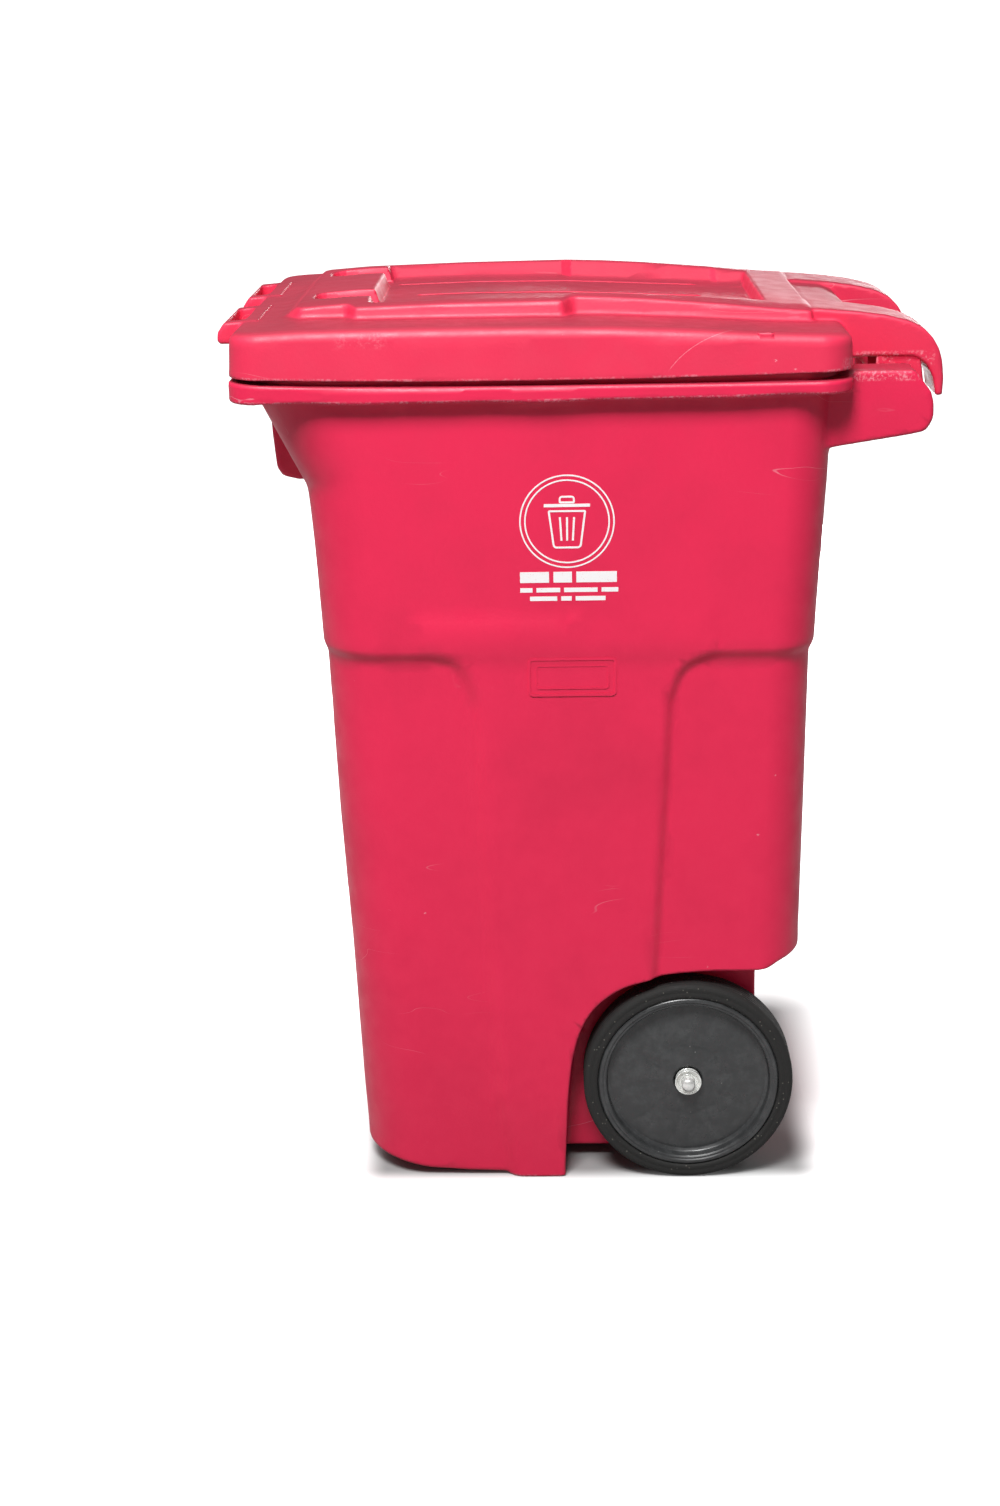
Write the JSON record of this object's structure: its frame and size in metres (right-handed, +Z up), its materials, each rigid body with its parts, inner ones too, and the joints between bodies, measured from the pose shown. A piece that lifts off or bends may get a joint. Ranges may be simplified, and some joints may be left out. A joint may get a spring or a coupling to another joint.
{
  "type": "wheeled waste bin",
  "caption": "Tall hollow two-wheeled waste bin with a hinged lid, integral hand bar, steel axle with plastic-hub wheels, and a rolling lift bar in a front recess.",
  "frame": {"origin": "on the floor, halfway across the width and 2.5 mm behind the middle of the whole object's depth", "axes": "+Z up, the front faces -Y, the hinge and the wheels are at +Y, +X along the axle"},
  "size_m": [0.616, 0.83, 1.0665],
  "materials": {
    "body_plastic": "matte raspberry red moulded polyethylene with light scuffs",
    "hub_plastic": "satin dark grey moulded plastic",
    "tyre_rubber": "matte black rubber",
    "zinc_steel": "zinc-plated steel rod",
    "zinc_plate": "bright zinc-plated pressed steel",
    "black_nylon": "black nylon"
  },
  "bodies": {
    "bin": {"body_shell": "body_plastic", "axle_bush_right": "black_nylon", "axle_bush_left": "black_nylon", "lift_bar_bush_right": "black_nylon", "lift_bar_bush_left": "black_nylon"},
    "lid": {"lid_shell": "body_plastic", "hinge_pin_right": "black_nylon", "hinge_pin_left": "black_nylon", "hinge_pin_nut_right": "zinc_plate", "hinge_pin_nut_left": "zinc_plate"},
    "axle": {"axle": "zinc_steel", "inner_washer_right": "zinc_plate", "inner_washer_left": "zinc_plate", "outer_washer_right": "zinc_plate", "outer_washer_left": "zinc_plate", "axle_cap_right": "zinc_plate", "axle_cap_left": "zinc_plate"},
    "wheel_right": {"wheel_hub_right": "hub_plastic", "tyre_right": "tyre_rubber", "hub_sleeve_right": "black_nylon"},
    "wheel_left": {"wheel_hub_left": "hub_plastic", "tyre_left": "tyre_rubber", "hub_sleeve_left": "black_nylon"},
    "lift_bar": {"lift_bar": "zinc_steel"}
  },
  "joints": [
    {"name": "lid_hinge", "type": "hinge", "parent": "bin", "child": "lid", "pos_m": [0, 0.365, 0.957], "axis": [-1, 0, 0], "range_deg": [0, 267]},
    {"name": "axle_turn", "type": "hinge", "parent": "bin", "child": "axle", "pos_m": [0, 0.1205, 0.127], "axis": [1, 0, 0], "continuous": true},
    {"name": "wheel_right_spin", "type": "hinge", "parent": "axle", "child": "wheel_right", "pos_m": [0.246, 0.1205, 0.127], "axis": [1, 0, 0], "continuous": true},
    {"name": "wheel_left_spin", "type": "hinge", "parent": "axle", "child": "wheel_left", "pos_m": [-0.246, 0.1205, 0.127], "axis": [1, 0, 0], "continuous": true},
    {"name": "lift_bar_roll", "type": "hinge", "parent": "bin", "child": "lift_bar", "pos_m": [0, -0.274, 0.53], "axis": [1, 0, 0], "continuous": true}
  ]
}
